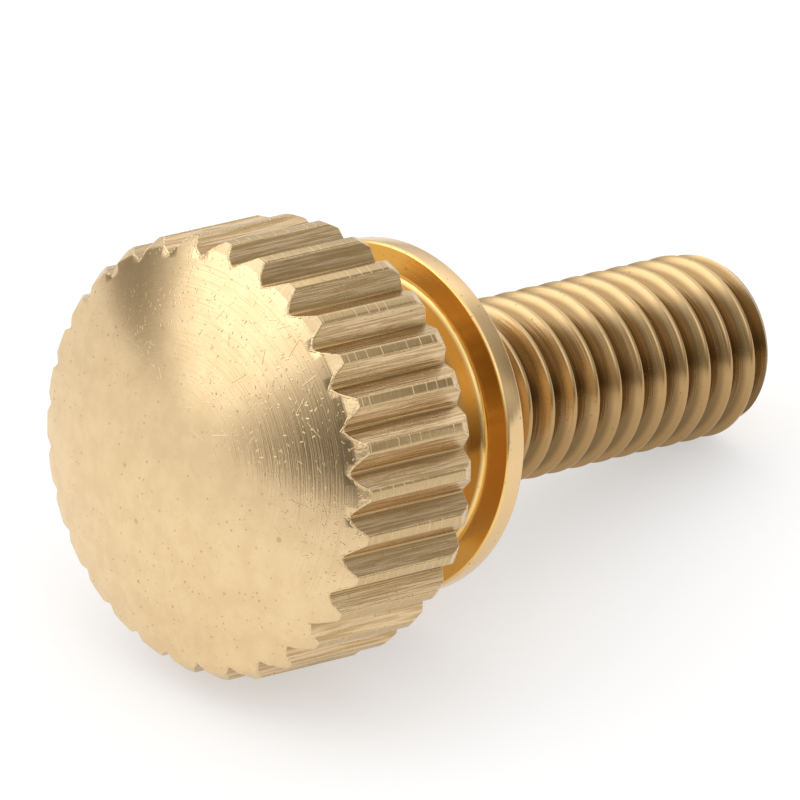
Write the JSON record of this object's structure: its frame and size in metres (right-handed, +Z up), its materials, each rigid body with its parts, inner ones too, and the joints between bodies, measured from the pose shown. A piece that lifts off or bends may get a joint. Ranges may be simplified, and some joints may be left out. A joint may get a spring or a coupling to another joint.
{
  "type": "thumb screw",
  "caption": "Brass thumb screw turned in one piece, with a domed, straight-knurled head, a neck, a thin seating collar and a right-hand M6 threaded shank.",
  "frame": {"origin": "on the surface that the screw lies on, below the centre of its bounding box", "axes": "+Z up; +X along the screw from its head towards its tip, seen from above; the screw's own axis leans down towards the tip, because the head is wider than the thread"},
  "size_m": [0.0242, 0.0138, 0.0143],
  "materials": {
    "brass": "bright turned brass with lathe marks, fine scratches and a satin knurl"
  },
  "bodies": {
    "root": {"thumb_screw": "brass"}
  },
  "joints": []
}
